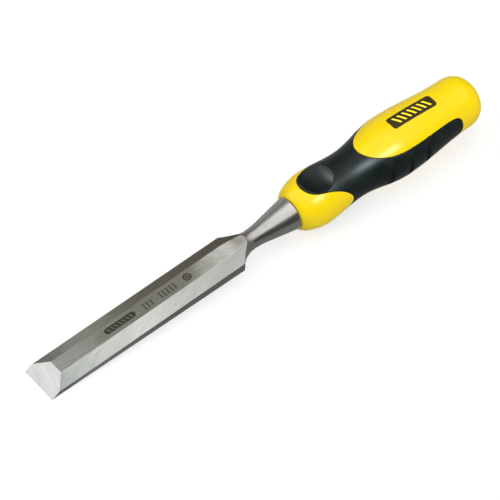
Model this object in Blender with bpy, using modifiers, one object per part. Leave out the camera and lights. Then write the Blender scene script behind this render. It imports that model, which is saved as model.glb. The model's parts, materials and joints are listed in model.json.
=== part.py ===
"""Bench chisel: a forged bevel-edge blade in a two-material plastic handle.

Tool frame: +X runs from the cutting edge to the butt, the flat back of the blade is the plane z = 0 and
the ground bevels face +Z. The tool is laid on a bench at the end, on its edge and a thumb dish's lip.
"""

import math

import bmesh
import bpy
from mathutils import Matrix, Vector

MM = 0.001

# Blade, neck and bolster
BLADE_WIDTH = 20.0 * MM
GRIND_ANGLE = math.radians(27.5)
TOP_FLAT_WIDTH = 7.8 * MM
TIP_THICKNESS = 5.2 * MM
SHOULDER_THICKNESS = 7.7 * MM
TIP_SIDE_WALL = 2.15 * MM
SHOULDER_SIDE_WALL = 4.75 * MM
SHOULDER_X = 109.8 * MM
RUN_OUT_X = 105.0 * MM
WHEEL_RADIUS = 85.0 * MM
BACK_RUN_OUT_X = 112.0 * MM
BLANK_RADIUS = 14.0 * MM
NECK_X = 121.5 * MM
NECK_RADIUS = 4.8 * MM
SHOULDER_ARC = 14.0 * MM
CONE_START_X = 125.0 * MM
BOLSTER_X = 145.5 * MM
BOLSTER_RADIUS = 8.45 * MM
AXIS_HEIGHT = 3.8 * MM

# Tang, hidden in the handle
TANG_LENGTH = 62.0 * MM
TANG_ROOT = 7.4 * MM
TANG_TIP = 4.2 * MM

# Handle, with distances measured back from its nose face
HANDLE_LENGTH = 113.8 * MM
NOSE_FACE_RADIUS = 8.6 * MM
NOSE_X, NOSE_RADIUS = 13.5 * MM, 13.9 * MM
WAIST_X, WAIST_RADIUS = 35.0 * MM, 12.3 * MM
SWELL_X, SWELL_RADIUS = 62.0 * MM, 16.0 * MM
BUTT_X, BUTT_RADIUS = 102.0 * MM, 13.4 * MM
NOSE_FULLNESS = 1.65
BUTT_FULLNESS = 2.5

# Soft grip
GRIP_THICKNESS = 1.6 * MM
GAP = 0.3 * MM
DISH_X = 15.8 * MM
DISH_AXES = Vector((8.9 * MM, 13.6 * MM, 6.0 * MM))
DISH_HEIGHT = 15.9 * MM
TONGUE_RADIUS = 9.1 * MM
LOBE_X, LOBE_LENGTH, LOBE_HALF_HEIGHT = 14.6 * MM, 14.2 * MM, 10.6 * MM
WINDOW_X, WINDOW_LENGTH, WINDOW_HALF_WIDTH = 61.0 * MM, 19.7 * MM, 13.0 * MM
LEG_END_X, LEG_CORNER = 96.8 * MM, 4.5 * MM
LEG_HALF_HEIGHT, LEG_END_HALF_HEIGHT = 9.2 * MM, 7.4 * MM
GROOVE_X = (50.5 * MM, 61.5 * MM, 72.5 * MM)
GROOVE_DEPTH, GROOVE_CUTTER_RADIUS = 0.95 * MM, 1.5 * MM

# Label in the palm swell
LABEL_X, LABEL_LENGTH, LABEL_WIDTH = 74.8 * MM, 27.0 * MM, 7.4 * MM
LABEL_THICKNESS, LABEL_CORNER = 0.5 * MM, 1.6 * MM

TURNED_STEPS = 36
FINE_STEPS = 48
MERGE = 0.00001
BIG = 60.0 * MM
ZONE_REACH, LEG_REACH = 25.0 * MM, 22.0 * MM
NOSE_FACE_X = BOLSTER_X + GAP
ALONG_X = (0.0, math.pi / 2, 0.0)


def clear_scene():
    for item in list(bpy.data.objects):
        bpy.data.objects.remove(item, do_unlink=True)


def collection(name):
    group = bpy.data.collections.new(name)
    bpy.context.scene.collection.children.link(group)
    return group


def material(name, color, roughness, metallic=0.0):
    finish = bpy.data.materials.new(name)
    finish.use_nodes = True
    shader = finish.node_tree.nodes["Principled BSDF"]
    shader.inputs["Base Color"].default_value = (*color, 1.0)
    shader.inputs["Roughness"].default_value = roughness
    shader.inputs["Metallic"].default_value = metallic
    return finish


def add_object(name, mesh, location=(0, 0, 0), rotation=(0, 0, 0)):
    """Make an object that is a cutter until it is listed as a part."""
    item = bpy.data.objects.new(name, mesh)
    item.location = location
    item.rotation_euler = rotation
    CUTTERS.objects.link(item)
    item.hide_render = True
    item.display_type = "WIRE"
    return item


def combine(target, operation, other):
    cut = target.modifiers.new(operation.lower() + "_" + other.name, "BOOLEAN")
    cut.operation = operation
    cut.solver = "EXACT"
    cut.object = other
    return cut


def eased(start, end, share):
    """Half a cosine wave from start to end."""
    return start + (end - start) * (1 - math.cos(math.pi * share)) / 2


def handle_radius(along):
    """Radius of the handle at a distance behind its nose face."""
    if along < NOSE_X:
        share = 1 - along / NOSE_X
        rise = (1 - share**NOSE_FULLNESS) ** (1 / NOSE_FULLNESS)
        return NOSE_FACE_RADIUS + (NOSE_RADIUS - NOSE_FACE_RADIUS) * rise
    if along < WAIST_X:
        return eased(NOSE_RADIUS, WAIST_RADIUS, (along - NOSE_X) / (WAIST_X - NOSE_X))
    if along < SWELL_X:
        return eased(WAIST_RADIUS, SWELL_RADIUS, (along - WAIST_X) / (SWELL_X - WAIST_X))
    if along < BUTT_X:
        return eased(SWELL_RADIUS, BUTT_RADIUS, (along - SWELL_X) / (BUTT_X - SWELL_X))
    share = min((along - BUTT_X) / (HANDLE_LENGTH - BUTT_X), 1.0)
    return BUTT_RADIUS * (1 - share**BUTT_FULLNESS) ** (1 / BUTT_FULLNESS)


def handle_stations():
    """Distances behind the nose face, closer together where the outline turns quickly."""
    nose = [NOSE_X * (1 - math.cos(math.pi / 2 * step / 6)) for step in range(6)]
    middle = [NOSE_X + (BUTT_X - NOSE_X) * step / 19 for step in range(19)]
    butt = [BUTT_X + (HANDLE_LENGTH - BUTT_X) * math.sin(math.pi / 2 * step / 7) for step in range(8)]
    return nose + middle + butt


def turned(name, outline, steps):
    """Solid of revolution about the tool's axis from (distance along X, radius) points, front to back."""
    mesh = bpy.data.meshes.new(name)
    points = [(0, 0, outline[0][0])] + [(radius, 0, along) for along, radius in outline]
    if outline[-1][1] > MERGE:
        points.append((0, 0, outline[-1][0]))
    points.reverse()
    mesh.from_pydata(points, [(index, index + 1) for index in range(len(points) - 1)], [])
    item = add_object(name, mesh, (0, 0, AXIS_HEIGHT), ALONG_X)
    screw = item.modifiers.new("turn", "SCREW")
    screw.steps = steps
    screw.render_steps = steps
    screw.use_merge_vertices = True
    screw.merge_threshold = MERGE
    return item


def handle_body(name, inset=0.0):
    """The handle's turned outline, or the same outline set in by a thickness and cut short at its ends."""
    stations = handle_stations()
    if inset:
        stations = [along for along in stations if 2 * inset < along < HANDLE_LENGTH - 2 * inset]
    outline = [(NOSE_FACE_X + along, handle_radius(along) - inset) for along in stations]
    return turned(name, outline, TURNED_STEPS)


def prism(name, outline, half_depth, side_view=False):
    """Flat outline extruded both ways: a plan outline along Z, or a side-view outline along Y."""
    curve = bpy.data.curves.new(name, "CURVE")
    curve.dimensions = "2D"
    curve.fill_mode = "BOTH"
    curve.extrude = half_depth
    spline = curve.splines.new("POLY")
    spline.points.add(len(outline) - 1)
    for point, place in zip(spline.points, outline):
        point.co = (*place, 0, 1)
    spline.use_cyclic_u = True
    drawn = bpy.data.objects.new(name + "_curve", curve)
    CUTTERS.objects.link(drawn)
    bpy.context.view_layer.update()
    depsgraph = bpy.context.evaluated_depsgraph_get()
    mesh = bpy.data.meshes.new_from_object(drawn.evaluated_get(depsgraph))
    bpy.data.objects.remove(drawn, do_unlink=True)
    shape = bmesh.new()
    shape.from_mesh(mesh)
    bmesh.ops.remove_doubles(shape, verts=shape.verts, dist=MERGE)
    bmesh.ops.recalc_face_normals(shape, faces=shape.faces)
    shape.to_mesh(mesh)
    shape.free()
    if side_view:
        return add_object(name, mesh, (0, 0, 0), (math.pi / 2, 0, 0))
    return add_object(name, mesh)


def block(name, low, high):
    """Box between two corners."""
    mesh = bpy.data.meshes.new(name)
    shape = bmesh.new()
    bmesh.ops.create_cube(shape, size=1.0)
    bmesh.ops.scale(shape, vec=Vector(high) - Vector(low), verts=shape.verts)
    shape.to_mesh(mesh)
    shape.free()
    return add_object(name, mesh, (Vector(low) + Vector(high)) / 2)


def half_space(name, point, outward):
    """Large block with one face on the plane through point; it lies on the outward side."""
    item = block(name, (-4 * BIG, -4 * BIG, 0), (4 * BIG, 4 * BIG, BIG))
    item.rotation_euler = Vector(outward).to_track_quat("Z", "Y").to_euler()
    item.location = Vector(point) + Vector(outward).normalized() * BIG / 2
    return item


def round_column(name, center, semi_axes, across=False):
    """Upright elliptic column along Z, or one lying across the tool along Y."""
    mesh = bpy.data.meshes.new(name)
    shape = bmesh.new()
    bmesh.ops.create_cone(
        shape, cap_ends=True, segments=FINE_STEPS, radius1=1.0, radius2=1.0, depth=BIG
    )
    bmesh.ops.rotate(shape, verts=shape.verts, matrix=Matrix.Rotation(math.pi / FINE_STEPS, 3, "Z"))
    bmesh.ops.scale(shape, vec=(semi_axes[0], semi_axes[1], 1.0), verts=shape.verts)
    shape.to_mesh(mesh)
    shape.free()
    return add_object(name, mesh, center, (math.pi / 2, 0, 0) if across else (0, 0, 0))


def ellipsoid(name, center, semi_axes):
    mesh = bpy.data.meshes.new(name)
    shape = bmesh.new()
    bmesh.ops.create_uvsphere(shape, u_segments=32, v_segments=16, radius=1.0)
    bmesh.ops.scale(shape, vec=semi_axes, verts=shape.verts)
    shape.to_mesh(mesh)
    shape.free()
    return add_object(name, mesh, center)


def top_height(along):
    """Height of the ground top flat over the back; past the run-out it rises with the wheel."""
    slope = (SHOULDER_THICKNESS - TIP_THICKNESS) / (SHOULDER_X - grind_length(TIP_THICKNESS))
    height = TIP_THICKNESS + slope * (along - grind_length(TIP_THICKNESS))
    past = max(along - RUN_OUT_X, 0.0)
    return height + WHEEL_RADIUS - math.sqrt(WHEEL_RADIUS**2 - past**2)


def grind_length(height):
    """Distance from the cutting edge at which the primary bevel reaches a height."""
    return height / math.tan(GRIND_ANGLE)


def neck_outline():
    """Turned outline of the forging: blank, shoulder arc, neck and conical bolster."""
    outline = [(-5 * MM, BLANK_RADIUS)]
    arc_center = NECK_RADIUS + SHOULDER_ARC
    sweep_end = math.acos((arc_center - BLANK_RADIUS) / SHOULDER_ARC)
    for step in range(9):
        sweep = sweep_end * (1 - step / 8)
        place = NECK_X - SHOULDER_ARC * math.sin(sweep)
        outline.append((place, arc_center - SHOULDER_ARC * math.cos(sweep)))
    cone_slope = (BOLSTER_RADIUS - NECK_RADIUS) / (BOLSTER_X - CONE_START_X)
    blend = CONE_START_X - NECK_X
    for step in range(1, 4):
        past = 2 * blend * step / 3
        outline.append((NECK_X + past, NECK_RADIUS + cone_slope * past**2 / (4 * blend)))
    outline.append((BOLSTER_X, BOLSTER_RADIUS))
    return outline


def make_tang(name, clearance):
    """Tapered square tang, from just inside the bolster to its hidden end."""
    overlap = 2.0 * MM
    mesh = bpy.data.meshes.new(name)
    shape = bmesh.new()
    corner = math.sqrt(0.5)
    bmesh.ops.create_cone(
        shape,
        cap_ends=True,
        segments=4,
        radius1=TANG_ROOT * corner + clearance / corner,
        radius2=TANG_TIP * corner + clearance / corner,
        depth=TANG_LENGTH + overlap + clearance,
    )
    bmesh.ops.rotate(shape, verts=shape.verts, matrix=Matrix.Rotation(math.pi / 4, 3, "Z"))
    shape.to_mesh(mesh)
    shape.free()
    middle = BOLSTER_X - overlap + (TANG_LENGTH + overlap + clearance) / 2
    return add_object(name, mesh, (middle, 0, AXIS_HEIGHT), ALONG_X)


def make_blade():
    """Forging: one turned blank ground flat on its back, top, sides, side bevels and primary bevel."""
    blade = turned("blade", neck_outline(), FINE_STEPS)
    half_width = BLADE_WIDTH / 2
    rise = [RUN_OUT_X + (NECK_X + 4 * MM - RUN_OUT_X) * step / 8 for step in range(9)]
    top = [(-10 * MM, top_height(-10 * MM))] + [(along, top_height(along)) for along in rise]
    top += [(rise[-1], BIG), (-10 * MM, BIG)]
    combine(blade, "DIFFERENCE", prism("top_grind", top, BIG / 2, side_view=True))
    drop = NECK_RADIUS - AXIS_HEIGHT
    fall_length = NECK_X - BACK_RUN_OUT_X
    back = [(-10 * MM, 0), (-10 * MM, -BIG), (NECK_X, -BIG)]
    back += [
        (NECK_X - fall_length * step / 5, -drop * (1 - step / 5) ** 2 - MERGE) for step in range(6)
    ]
    combine(blade, "DIFFERENCE", prism("back_grind", back, BIG / 2, side_view=True))
    bevel_normal = (-math.sin(GRIND_ANGLE), 0, math.cos(GRIND_ANGLE))
    combine(blade, "DIFFERENCE", half_space("primary_bevel", (0, 0, 0), bevel_normal))
    ridge = TOP_FLAT_WIDTH / 2
    for name, side in (("left", 1), ("right", -1)):
        wall_tip = Vector((grind_length(TIP_SIDE_WALL), side * half_width, TIP_SIDE_WALL))
        wall_end = Vector((SHOULDER_X, side * half_width, SHOULDER_SIDE_WALL))
        ridge_tip = Vector((grind_length(TIP_THICKNESS), side * ridge, TIP_THICKNESS))
        outward = (ridge_tip - wall_tip).cross(wall_end - wall_tip) * side
        bevel = half_space(name + "_bevel", wall_tip, outward)
        beyond_neck = block(name + "_guard", (NECK_X, -5 * BIG, -5 * BIG), (5 * BIG, 5 * BIG, 5 * BIG))
        combine(bevel, "DIFFERENCE", beyond_neck)
        combine(blade, "DIFFERENCE", bevel)
        wall = half_space(name + "_side", (0, side * half_width, 0), (0, side, 0))
        combine(blade, "DIFFERENCE", wall)
    combine(blade, "UNION", make_tang("tang", 0.0))
    return blade


def grip_zone(name, clearance):
    """Space taken by the soft grip: waist, side legs and tongues, drawn in by a clearance."""
    front = NOSE_FACE_X + DISH_X
    back = NOSE_FACE_X + WINDOW_X
    zone = block(name, (front, -ZONE_REACH, -ZONE_REACH), (back - GAP, ZONE_REACH, ZONE_REACH))
    window = (WINDOW_LENGTH + clearance, WINDOW_HALF_WIDTH + clearance)
    combine(zone, "DIFFERENCE", round_column(name + "_window", (back, 0, 0), window))
    lobe = (LOBE_LENGTH + clearance, LOBE_HALF_HEIGHT + clearance)
    lobe_center = (NOSE_FACE_X + LOBE_X, 0, AXIS_HEIGHT)
    combine(zone, "DIFFERENCE", round_column(name + "_lobe", lobe_center, lobe, across=True))
    combine(zone, "UNION", round_column(name + "_tongue", (front, 0, 0), (TONGUE_RADIUS - clearance,) * 2))
    combine(zone, "UNION", prism(name + "_legs", leg_outline(clearance), LEG_REACH, side_view=True))
    return zone


def leg_outline(clearance):
    """Side view of a leg: tapering towards the butt, with rounded corners at its end."""
    front = NOSE_FACE_X + WINDOW_X - 6 * MM
    end = NOSE_FACE_X + LEG_END_X - clearance
    corner = LEG_CORNER - clearance
    half_end = LEG_END_HALF_HEIGHT - clearance
    upper = [(front, LEG_HALF_HEIGHT - clearance)]
    for step in range(7):
        sweep = math.pi / 2 * (1 - step / 6)
        place = end - corner + corner * math.cos(sweep)
        upper.append((place, half_end - corner + corner * math.sin(sweep)))
    lower = [(along, -height) for along, height in reversed(upper)]
    return [(along, AXIS_HEIGHT + height) for along, height in upper + lower]


def grip_floor(name, thickness):
    """Core under the grip: the turned outline set in by a thickness, hollowed under both thumb dishes."""
    floor = handle_body(name, thickness)
    for side, face in ((1, "top"), (-1, "bottom")):
        spread = Vector((thickness, thickness, thickness))
        hollow = ellipsoid(name + "_" + face, dish_center(side), DISH_AXES + spread)
        combine(floor, "DIFFERENCE", hollow)
    return floor


def dish_center(side):
    return (NOSE_FACE_X + DISH_X, 0, AXIS_HEIGHT + side * DISH_HEIGHT)


def label_outline(clearance):
    """Plan outline of the label: a bar with rounded corners."""
    radius = LABEL_CORNER + clearance
    middle = NOSE_FACE_X + LABEL_X
    ahead = LABEL_LENGTH / 2 - LABEL_CORNER
    aside = LABEL_WIDTH / 2 - LABEL_CORNER
    outline = []
    for number, (end, side) in enumerate(((1, -1), (1, 1), (-1, 1), (-1, -1))):
        for step in range(4):
            sweep = math.pi / 2 * (number - 1 + step / 3)
            place = middle + end * ahead + radius * math.cos(sweep)
            outline.append((place, side * aside + radius * math.sin(sweep)))
    return outline


def label_column(name, clearance):
    """Upright column over the label, on the tool's upper side only."""
    column = prism(name, label_outline(clearance), BIG / 4)
    column.location = (0, 0, AXIS_HEIGHT + BIG / 4)
    return column


def make_core():
    """Hard plastic core: nose lobes, body under the grip, palm swell and butt, with the tang's socket."""
    core = handle_body("handle_core")
    recess = grip_zone("recess", 0.0)
    combine(recess, "DIFFERENCE", grip_floor("recess_floor", GRIP_THICKNESS + GAP))
    combine(core, "DIFFERENCE", recess)
    combine(core, "DIFFERENCE", make_tang("socket", GAP))
    pocket = label_column("pocket", GAP)
    combine(pocket, "DIFFERENCE", handle_body("pocket_floor", LABEL_THICKNESS + GAP))
    combine(core, "DIFFERENCE", pocket)
    return core


def make_grip():
    """Soft overmould in the recess, with a thumb dish on both faces and three grooves in each leg."""
    grip = handle_body("soft_grip")
    combine(grip, "INTERSECT", grip_zone("grip_shape", GAP))
    combine(grip, "DIFFERENCE", grip_floor("grip_floor", GRIP_THICKNESS))
    for side, face in ((1, "top"), (-1, "bottom")):
        combine(grip, "DIFFERENCE", ellipsoid("dish_" + face, dish_center(side), DISH_AXES))
    for index, along in enumerate(GROOVE_X):
        reach = handle_radius(along) - GROOVE_DEPTH + GROOVE_CUTTER_RADIUS
        for side, name in ((1, "left"), (-1, "right")):
            place = (NOSE_FACE_X + along, side * reach, AXIS_HEIGHT)
            groove = round_column(f"groove_{name}_{index + 1}", place, (GROOVE_CUTTER_RADIUS,) * 2)
            combine(grip, "DIFFERENCE", groove)
    return grip


def make_label():
    """Thin dark label let into the palm swell."""
    label = handle_body("label")
    combine(label, "INTERSECT", label_column("label_column", 0.0))
    combine(label, "DIFFERENCE", handle_body("label_back", LABEL_THICKNESS))
    return label


def list_as_part(item, finish, parent):
    """Move an object from the cutters to the chisel's own collection and give it its material."""
    CUTTERS.objects.unlink(item)
    CHISEL.objects.link(item)
    item.hide_render = False
    item.display_type = "TEXTURED"
    item.data.materials.append(finish)
    item.data.shade_smooth()
    item.parent = parent


def lay_on_bench(tool, parts):
    """Tilt the tool until its edge and handle both touch a bench, and center its footprint at the origin."""
    bpy.context.view_layer.update()
    depsgraph = bpy.context.evaluated_depsgraph_get()
    corners = []
    for part in parts:
        shown = part.evaluated_get(depsgraph)
        corners += [shown.matrix_world @ vertex.co for vertex in shown.data.vertices]
    tilt = max(math.atan2(-corner.z, corner.x) for corner in corners if corner.x > NECK_X)
    turn = Matrix.Rotation(-tilt, 4, "Y")
    corners = [turn @ corner for corner in corners]
    low = Vector([min(corner[axis] for corner in corners) for axis in range(3)])
    high = Vector([max(corner[axis] for corner in corners) for axis in range(3)])
    tool.rotation_euler = (0, -tilt, 0)
    tool.location = (-(low.x + high.x) / 2, -(low.y + high.y) / 2, -low.z)


clear_scene()
CHISEL = collection("bench_chisel")
CUTTERS = collection("cutters")
TOOL = bpy.data.objects.new("tool_axis", None)
CHISEL.objects.link(TOOL)

STEEL = material("ground_steel", (0.62, 0.61, 0.58), 0.28, 1.0)
YELLOW = material("yellow_plastic", (0.95, 0.73, 0.01), 0.25)
BLACK = material("black_soft_plastic", (0.03, 0.04, 0.04), 0.6)
DARK = material("dark_label", (0.05, 0.04, 0.03), 0.45)

PARTS = [
    (make_blade(), STEEL),
    (make_core(), YELLOW),
    (make_grip(), BLACK),
    (make_label(), DARK),
]
for piece, piece_finish in PARTS:
    list_as_part(piece, piece_finish, TOOL)
for cutter in CUTTERS.objects:
    cutter.parent = TOOL
lay_on_bench(TOOL, [piece for piece, _ in PARTS])
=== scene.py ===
"""Looks of the bench chisel: ground steel blade, yellow handle core, black soft grip and dark label.

All shapes are worked out in millimetres in the tool's own frame: +X from the cutting edge to the butt, the
blade's flat back at z = 0 and its ground bevels facing +Z. TO_ROW turns that frame into the frame of the row.
"""

import math

import bpy
import numpy as np
from mathutils import Matrix, Vector
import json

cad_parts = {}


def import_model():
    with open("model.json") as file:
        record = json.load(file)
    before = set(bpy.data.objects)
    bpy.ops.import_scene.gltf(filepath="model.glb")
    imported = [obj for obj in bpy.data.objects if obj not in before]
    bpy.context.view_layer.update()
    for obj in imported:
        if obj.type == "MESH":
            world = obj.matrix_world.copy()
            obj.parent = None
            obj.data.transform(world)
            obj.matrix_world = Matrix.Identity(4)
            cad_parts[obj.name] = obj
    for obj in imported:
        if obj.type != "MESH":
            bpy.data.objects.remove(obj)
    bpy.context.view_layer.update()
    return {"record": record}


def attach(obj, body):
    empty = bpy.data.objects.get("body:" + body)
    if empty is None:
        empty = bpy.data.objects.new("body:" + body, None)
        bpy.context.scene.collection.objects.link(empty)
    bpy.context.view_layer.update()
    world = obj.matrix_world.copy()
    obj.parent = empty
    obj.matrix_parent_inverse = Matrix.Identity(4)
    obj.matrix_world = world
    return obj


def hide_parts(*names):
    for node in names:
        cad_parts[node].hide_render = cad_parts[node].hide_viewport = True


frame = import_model()

MM = 0.001

# Blade, neck and bolster
HALF_WIDTH = 10.0
GRIND_SLOPE = math.tan(math.radians(27.5))
TIP_THICKNESS, SHOULDER_THICKNESS = 5.2, 7.7
TIP_SIDE_WALL, SHOULDER_SIDE_WALL = 2.15, 4.75
TOP_HALF_WIDTH = 3.9
SHOULDER_X = 109.8
MOUNT_X = 55.0
RUN_OUT_X, WHEEL_RADIUS = 105.0, 85.0
BACK_RUN_OUT_X = 112.0
TURNED_FROM_X, TURNED_CREASE = 106.0, 0.12
SPREAD_FROM_X, SPREAD = 119.0, 0.03
BLANK_RADIUS = 14.0
NECK_X, NECK_RADIUS, SHOULDER_ARC = 121.5, 4.8, 14.0
CONE_START_X = 125.0
BOLSTER_X, BOLSTER_RADIUS = 145.5, 8.45
AXIS_HEIGHT = 3.8
TANG_END_X, TANG_ROOT, TANG_TIP = 207.5, 3.7, 2.1
EDGE_HEIGHT = 0.02
EDGE_ROUND, EDGE_STEPS = 0.14, 4
TOP_CREASE, LEAST_REACH = 0.06, 0.3
SECTION_CUTS = (22, 8, 16, 10)
TIP_X = TIP_THICKNESS / GRIND_SLOPE
WALL_X = TIP_SIDE_WALL / GRIND_SLOPE

# Finishes of the blade's faces, as places in its list of materials
FLAT, WALL, BEVEL, PRIMARY, TURNED = range(5)

# Handle
NOSE_FACE_X = 145.8
HANDLE_LENGTH = 113.8
NOSE_FACE_RADIUS, NOSE_FULLNESS = 8.6, 1.65
NOSE = (13.5, 13.9)
WAIST = (35.0, 12.3)
SWELL = (62.0, 16.0)
BUTT = (102.0, 13.4)
BUTT_FULLNESS = 2.5

# The handle's skins are cut from a grid of rows along and columns round; hidden ones use a coarser grid
COLUMNS = 256
COARSE = 2

# Lines between yellow and black, as (distance from the cutting edge, degrees round from the top), one quarter
FRONT_LINE = [
    (152.0, 0), (152.4, 10.5), (153.4, 21), (155.9, 31), (159.3, 37), (162.8, 42.3), (166.4, 49.7),
    (169.9, 60), (172.3, 71.5), (173.6, 81), (174.0, 90),
]
WINDOW_LINE = [
    (186.6, 0), (187.1, 12), (188.5, 23), (190.8, 33.5), (193.8, 42), (198.2, 49.5), (203.8, 53.8),
    (211, 55.6), (220, 56.2), (229, 56.6), (235.2, 57.6), (239.0, 60.6), (241.2, 67), (242.0, 77),
    (242.2, 90),
]
LINE_STEP, LINE_PIECES, LINE_WINDOW = 0.12, 60, 25

# Distances to a line are worked out up to its reach and held past it
LINE_REACH = 2.0

# Seam between yellow and black, the rounded lips on both of its sides, and the layers under the grip
SEAM_GAP = 0.1
LIP, LIP_STEPS = 0.32, 5
GRIP_THICKNESS, BED_GAP = 1.6, 0.1
SOCKET_GAP = 0.4

# Thumb dishes, each the near side of an ellipsoid, and side grooves; MISS is the radius where no dish is met
DISH_X, DISH_HEIGHT = 161.6, 15.9
DISH_AXES = (8.9, 13.6, 6.0)
MISS = 99.0
GROOVES_X = (196.3, 207.3, 218.3)
GROOVE_DEPTH, GROOVE_RADIUS = 0.95, 1.5
CREASE = 0.3

# Label; bars are (pitch, share of the pitch, half width, half length)
LABEL_X, LABEL_LENGTH, LABEL_WIDTH = 220.6, 27.0, 7.4
LABEL_PROUD, LABEL_CORNER, LABEL_DEPTH = 0.04, 1.6, 0.3
LABEL_STEP, LABEL_HALF_TURN, LABEL_HALF_COLUMNS = 0.2, 19, 34
LABEL_BARS = (3.1, 0.38, 2.1, 10.6)

# Marks etched in the top flat, and nowhere below MARKS_ABOVE. Bars are as on the label, and ticks are
# (middle, half length, lowest and highest place across, pitch)
PANEL_X, PANEL_STRAIGHT, PANEL_RADIUS = 46.0, 6.9, 1.7
PANEL_BARS = (2.1, 0.34, 0.95, 7.1)
TICKS = ((61.8, 2.9, -2.1, 1.5, 2.0), (73.2, 5.0, -2.1, 1.9, 2.0))
TICK_SHARE = 0.42
DISC_X, DISC_RADIUS, DISC_RING = 84.6, 2.2, (0.8, 1.25)
MARKS_ABOVE = 4.0

# Where the camera stands and how it is turned, in the frame of the row
CAMERA_PLACE = (-0.502938, -0.561090, 0.885887)
CAMERA_AXES = (
    (0.768772, 0.475395, -0.427773),
    (-0.639042, 0.596982, -0.485013),
    (0.024800, 0.646229, 0.762740),
)
CAMERA_LENS = 180.42
CAMERA_CLIP = (0.05, 20.0)

# Colours: each pair is blended by a noise
YELLOW = ((0.66, 0.485, 0.001, 1.0), (0.63, 0.455, 0.001, 1.0))
BLACK = ((0.0018, 0.0042, 0.0042, 1.0), (0.0036, 0.0066, 0.0064, 1.0))
# Painted shade for the side grooves, darker than the grip's own black
GROOVE_PAINTED_SHADE = (0.0015, 0.0025, 0.0025, 1.0)
FILM = ((0.026, 0.017, 0.003, 1.0), (0.034, 0.024, 0.006, 1.0))
PRINT = (0.90, 0.68, 0.02, 1.0)
ETCHED = (0.075, 0.072, 0.058, 1.0)
FLOOR = ((0.27, 0.27, 0.27, 1.0), (0.29, 0.29, 0.29, 1.0))
WHITE = (1.0, 1.0, 1.0, 1.0)
COOL_WHITE = (0.85, 1.0, 1.0, 1.0)

# Painted reflections and painted shade along the faces of the blade, as (distance from the cutting edge,
# colour): the steel's colour is brighter where it would mirror bright parts of the studio, such as the top
# flat's run-out, and darker where it would mirror dark ones
FLAT_PAINTED_REFLECTIONS = [
    (0, (0.55, 0.55, 0.54)), (22, (0.52, 0.52, 0.48)), (38, (0.39, 0.39, 0.34)), (55, (0.345, 0.34, 0.285)),
    (76, (0.35, 0.345, 0.29)), (88, (0.42, 0.41, 0.35)), (96, (0.64, 0.63, 0.56)), (104, (0.95, 0.94, 0.89)),
    (110, (0.90, 0.88, 0.83)), (114, (0.55, 0.52, 0.46)), (120, (0.48, 0.45, 0.39)),
]
# Left bevel: painted darker than the right bevel, as painted shade
LEFT_PAINTED_REFLECTIONS = [
    (0, (0.42, 0.42, 0.39)), (11, (0.36, 0.36, 0.33)), (21, (0.50, 0.51, 0.45)), (32, (0.55, 0.55, 0.48)),
    (42, (0.46, 0.45, 0.38)), (52, (0.33, 0.32, 0.26)), (70, (0.26, 0.24, 0.18)), (100, (0.22, 0.20, 0.155)),
    (120, (0.17, 0.155, 0.13)),
]
RIGHT_PAINTED_REFLECTIONS = [
    (0, (0.32, 0.335, 0.32)), (12, (0.41, 0.43, 0.415)), (28, (0.50, 0.52, 0.50)), (52, (0.58, 0.59, 0.57)),
    (74, (0.50, 0.51, 0.49)), (92, (0.455, 0.465, 0.445)), (120, (0.40, 0.405, 0.385)),
]
# Side walls: darker overall partly for their coarser grind and partly as painted shade
WALL_PAINTED_REFLECTIONS = [
    (0, (0.34, 0.34, 0.34)), (8, (0.42, 0.42, 0.42)), (20, (0.60, 0.61, 0.60)), (38, (0.52, 0.53, 0.52)),
    (66, (0.43, 0.44, 0.41)), (120, (0.40, 0.40, 0.37)),
]
PRIMARY_PAINTED_REFLECTIONS = [(0, (0.36, 0.365, 0.36)), (6, (0.39, 0.395, 0.39)), (12, (0.37, 0.375, 0.37))]
TURNED_PAINTED_REFLECTIONS = [(0, (0.5, 0.5, 0.48)), (120, (0.50, 0.49, 0.46)), (145.5, (0.60, 0.595, 0.57))]

# Grinding wheel's streaks on the top flat: scales, degrees about Z, and where they start and are full,
# as distances ahead of the run-out
STREAKS, STREAK_TURN = (1500, 150, 150), -32
STREAKS_FADE = (17, 5)

# Stage, in metres
FLOOR_HALF, FLOOR_LEVEL, FLOOR_GLOW = 6.5, -0.0001, 0.74
DOME_RADIUS, DOME_COLUMNS = 6.0, 32

# Studio surroundings: direction, angles in degrees from full to none, and how much brighter or darker
STUDIO_BASE = 0.24
STUDIO_COLOR = (1.0, 1.0, 0.985, 1.0)
STUDIO_ZONES = [
    ((0.0, -0.23, 0.97), 26, 52, 0.95),
    ((-0.66, 0.47, 0.58), 18, 38, 1.85),
    ((0.42, 0.58, -0.70), 15, 35, 0.6),
    ((0.30, 0.94, 0.14), 10, 26, 0.16),
    ((0.03, -0.966, 0.26), 18, 32, -0.45),
    ((0.85, 0.42, 0.28), 12, 28, -0.2),
]


def tool_to_row():
    """Transform from the tool's own frame to the row, taken from the mount on the blade's back."""
    mount = next(item for item in frame["record"]["mounts"] if item["name"] == "blade_back")
    up = -Vector(mount["axis"])
    along = Vector((up.z, 0, -up.x))
    turn = Matrix((along, (0, 1, 0), up)).transposed().to_4x4()
    return Matrix.Translation(Vector(mount["pos_m"]) - along * (MOUNT_X * MM)) @ turn


TO_ROW = tool_to_row()


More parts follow.
